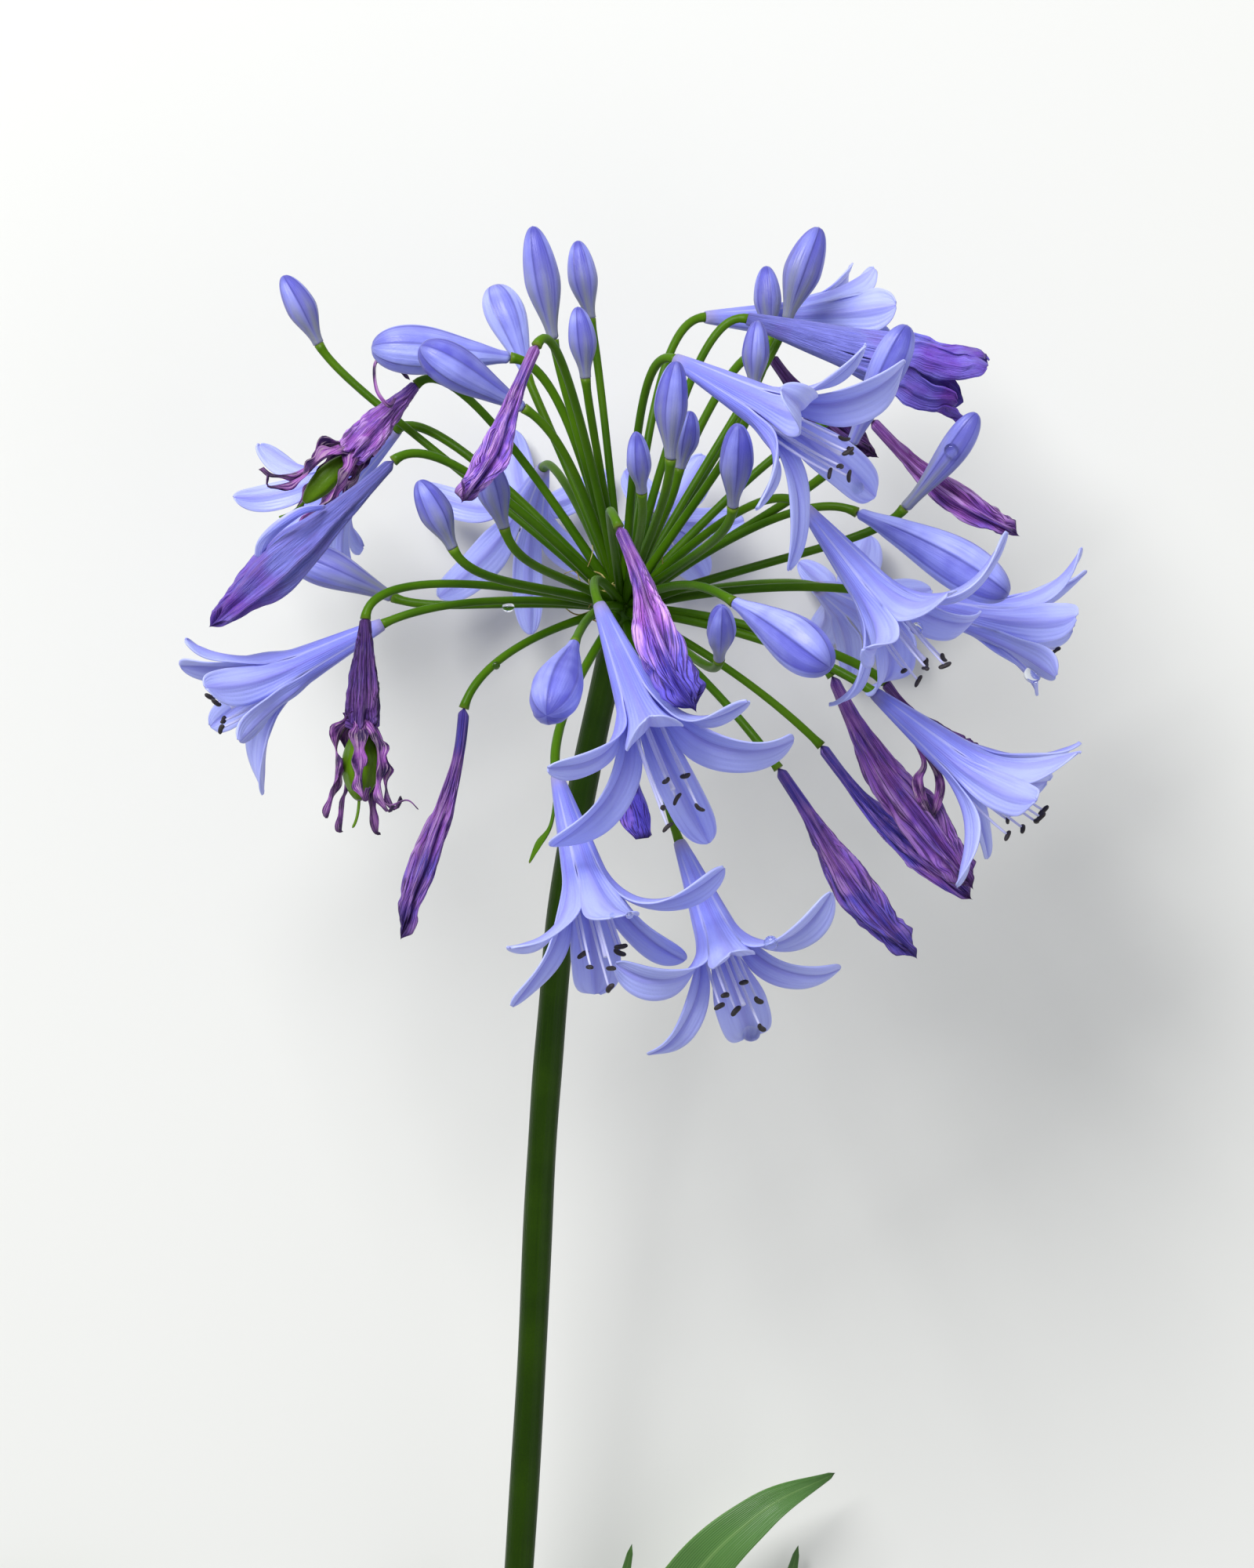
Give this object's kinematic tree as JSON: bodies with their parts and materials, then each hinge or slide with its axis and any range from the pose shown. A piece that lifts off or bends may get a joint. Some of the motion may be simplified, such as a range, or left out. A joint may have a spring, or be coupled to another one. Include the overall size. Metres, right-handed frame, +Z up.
{
  "type": "agapanthus plant",
  "caption": "Agapanthus plant with blue trumpet flowers, buds and faded blooms on a tall stem, with strap leaves, cut at the ground and laid down.",
  "frame": {"origin": "middle of the flat spot under the joined leaf bases, on the surface that the plant lies on", "axes": "+Y along the plant from its cut foot to its flower head, +Z up from the surface, +X to the right as seen from above with the head at the top"},
  "size_m": [0.2711, 0.4538, 0.1858],
  "materials": {
    "petal": "satin",
    "bud": "satin",
    "faded": "matte",
    "stalk": "satin",
    "leaf": "satin",
    "pod": "satin",
    "foot": "satin",
    "anther": "matte",
    "water_drop": "gloss"
  },
  "bodies": {
    "root": {"open_front": "petal", "open_low_left": "petal", "open_low_right": "petal", "open_right": "petal", "open_top_right": "petal", "open_mid_right": "petal", "open_far_right": "petal", "open_top_back": "petal", "open_left": "petal", "open_left_back": "petal", "open_back": "petal", "open_under_right": "petal", "open_back_centre": "petal", "closing_right": "petal", "closing_left": "petal", "bud_flat_left": "bud", "bud_mid_left": "bud", "bud_high_left": "bud", "bud_front_left": "bud", "bud_front_right": "bud", "bud_big_right": "bud", "bud_low_left": "bud", "bud_leaning_right": "bud", "bud_behind_right": "bud", "small_bud_far_left": "bud", "small_bud_tall": "bud", "small_bud_top": "bud", "small_bud_top_front": "bud", "small_bud_top_right": "bud", "small_bud_beside": "bud", "small_bud_pale": "bud", "small_bud_upright": "bud", "small_bud_hidden": "bud", "small_bud_mid_right": "bud", "small_bud_centre": "bud", "small_bud_left": "bud", "small_bud_front": "bud", "small_bud_mid_left": "bud", "faded_top_left": "faded", "faded_low_left": "faded", "faded_low_right": "faded", "faded_right": "faded", "faded_right_back": "faded", "faded_front": "faded", "faded_top_right": "faded", "faded_far_right": "faded", "faded_behind_right": "faded", "podded_left": "faded", "pod_left": "pod", "podded_low_left": "faded", "pod_low_left": "pod", "flower_stalks": "stalk", "stem": "stalk", "leaf_base": "foot", "leaf_long_right": "leaf", "leaf_young": "leaf", "leaf_low_right": "leaf", "leaf_left": "leaf", "leaf_long_left": "leaf"}
  },
  "joints": []
}
